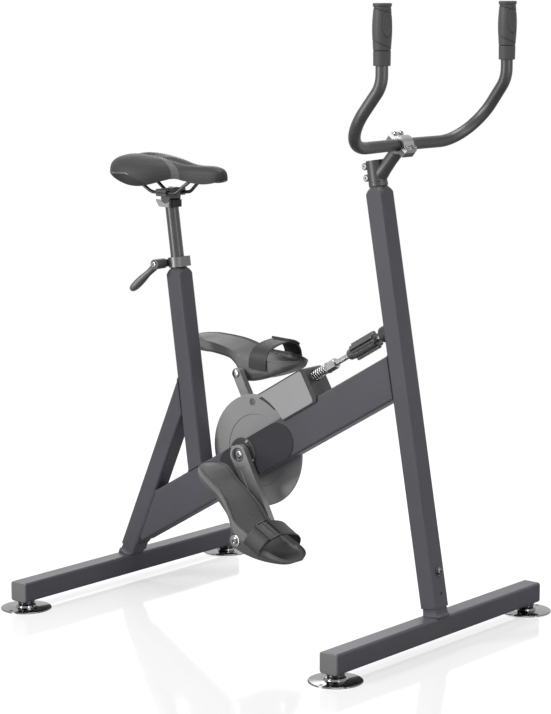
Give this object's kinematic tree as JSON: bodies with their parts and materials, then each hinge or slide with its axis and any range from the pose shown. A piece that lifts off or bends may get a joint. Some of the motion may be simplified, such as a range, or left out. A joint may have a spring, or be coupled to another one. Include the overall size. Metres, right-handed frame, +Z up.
{
  "type": "aqua bike",
  "caption": "Stationary pedal bike for pools: square-tube frame on base bars with disc feet, crank with strapped pedals, disc brake set by a knob, adjustable saddle and upturned handlebar.",
  "frame": {"origin": "on the floor, midway between the feet, at the middle of the bounding box's base", "axes": "+X is the way the rider faces, +Y is the rider's left, +Z is up"},
  "size_m": [0.893, 0.722, 1.213],
  "materials": {
    "frame_paint": "satin",
    "cap_plastic": "matte",
    "black_plastic": "matte",
    "pale_plastic": "matte",
    "satin_alloy": "satin",
    "polished_steel": "polished",
    "black_metal": "satin",
    "grip_rubber": "matte",
    "webbing": "woven",
    "saddle_cover": "matte"
  },
  "bodies": {
    "frame": {"front_base_bar": "frame_paint", "rear_base_bar": "frame_paint", "front_left_cap": "cap_plastic", "front_right_cap": "cap_plastic", "rear_left_cap": "cap_plastic", "rear_right_cap": "cap_plastic", "front_stub": "frame_paint", "rear_stub": "frame_paint", "front_post": "frame_paint", "post_bolt": "polished_steel", "steerer_tube": "black_metal", "main_beam": "frame_paint", "beam_doubler": "frame_paint", "seat_tube": "frame_paint", "rear_strut": "frame_paint", "rod_socket": "black_plastic", "bearing_housing": "satin_alloy", "right_bearing": "polished_steel", "left_bearing": "polished_steel", "bearing_cover": "cap_plastic", "brake_housing": "black_plastic", "brake_cover": "pale_plastic", "brake_spring": "polished_steel", "seat_collar": "black_metal", "lever_bolt": "polished_steel"},
    "front_left_levelling_foot": {"front_left_foot": "polished_steel"},
    "front_right_levelling_foot": {"front_right_foot": "polished_steel"},
    "rear_left_levelling_foot": {"rear_left_foot": "polished_steel"},
    "rear_right_levelling_foot": {"rear_right_foot": "polished_steel"},
    "crankset": {"crank_axle": "polished_steel", "right_crank_arm": "satin_alloy", "left_crank_arm": "satin_alloy", "right_crank_bolt": "polished_steel", "left_crank_bolt": "polished_steel", "resistance_disc": "satin_alloy", "disc_hub": "satin_alloy", "right_spindle": "polished_steel", "left_spindle": "polished_steel"},
    "right_pedal_set": {"right_pedal": "cap_plastic", "right_strap": "webbing"},
    "left_pedal_set": {"left_pedal": "cap_plastic", "left_strap": "webbing"},
    "brake_screw": {"tension_rod": "black_metal", "lock_nut": "polished_steel", "brake_knob": "black_plastic"},
    "brake_pad": {"brake_shoe": "black_plastic"},
    "seat_stem": {"seat_post": "black_metal", "post_head": "satin_alloy"},
    "saddle_cradle": {"rail_cradle": "black_metal", "rail_clamp": "black_metal", "clamp_bolt": "polished_steel"},
    "saddle": {"saddle_rails": "polished_steel", "saddle_base": "black_plastic", "saddle_pad": "saddle_cover"},
    "collar_lever": {"clamp_lever": "black_plastic"},
    "stem_set": {"stem": "black_metal", "stem_faceplate": "satin_alloy"},
    "handlebar_set": {"handlebar": "black_metal", "left_grip": "grip_rubber", "right_grip": "grip_rubber"}
  },
  "joints": [
    {"name": "front_left_foot_slide", "type": "slide", "parent": "frame", "child": "front_left_levelling_foot", "axis": [0, 0, -1], "range_m": [0, 0.008]},
    {"name": "front_right_foot_slide", "type": "slide", "parent": "frame", "child": "front_right_levelling_foot", "axis": [0, 0, -1], "range_m": [0, 0.008]},
    {"name": "rear_left_foot_slide", "type": "slide", "parent": "frame", "child": "rear_left_levelling_foot", "axis": [0, 0, -1], "range_m": [0, 0.008]},
    {"name": "rear_right_foot_slide", "type": "slide", "parent": "frame", "child": "rear_right_levelling_foot", "axis": [0, 0, -1], "range_m": [0, 0.008]},
    {"name": "crank_spin", "type": "hinge", "parent": "frame", "child": "crankset", "pos_m": [-0.06547, 0, 0.3146], "axis": [0, 1, 0], "continuous": true},
    {"name": "right_pedal_spin", "type": "hinge", "parent": "crankset", "child": "right_pedal_set", "pos_m": [0.01326, 0, 0.16959], "axis": [0, 1, 0], "continuous": true},
    {"name": "left_pedal_spin", "type": "hinge", "parent": "crankset", "child": "left_pedal_set", "pos_m": [-0.1442, 0, 0.4596], "axis": [0, 1, 0], "continuous": true},
    {"name": "brake_knob_turn", "type": "hinge", "parent": "frame", "child": "brake_screw", "pos_m": [-0.09937, 0.003, 0.37331], "axis": [0.866, 0, 0.5], "range_deg": [0, 720]},
    {"name": "brake_shoe_slide", "type": "slide", "parent": "frame", "child": "brake_pad", "axis": [-0.866, 0, -0.5], "range_m": [0, 0.003]},
    {"name": "seat_height", "type": "slide", "parent": "frame", "child": "seat_stem", "axis": [-0.1392, 0, 0.9903], "range_m": [-0.09, 0.08]},
    {"name": "saddle_tilt", "type": "hinge", "parent": "seat_stem", "child": "saddle_cradle", "pos_m": [-0.27449, 0, 0.816], "axis": [0, 1, 0], "range_deg": [-12, 12]},
    {"name": "saddle_slide", "type": "slide", "parent": "saddle_cradle", "child": "saddle", "axis": [1, 0, 0], "range_m": [-0.012, 0.012]},
    {"name": "collar_lever_turn", "type": "hinge", "parent": "frame", "child": "collar_lever", "pos_m": [-0.28029, 0, 0.68127], "axis": [0, 1, 0], "range_deg": [0, 120]},
    {"name": "stem_swivel", "type": "hinge", "parent": "frame", "child": "stem_set", "pos_m": [0.3955, 0, 0.057], "axis": [-0.1736, 0, 0.9848], "range_deg": [-20, 20]},
    {"name": "handlebar_tilt", "type": "hinge", "parent": "stem_set", "child": "handlebar_set", "pos_m": [0.30564, 0, 0.94844], "axis": [0, 1, 0], "range_deg": [-20, 20]}
  ],
  "couplings": [
    {"joint": "brake_shoe_slide", "follows": "brake_knob_turn", "m_per_rad": 0.00023873}
  ]
}
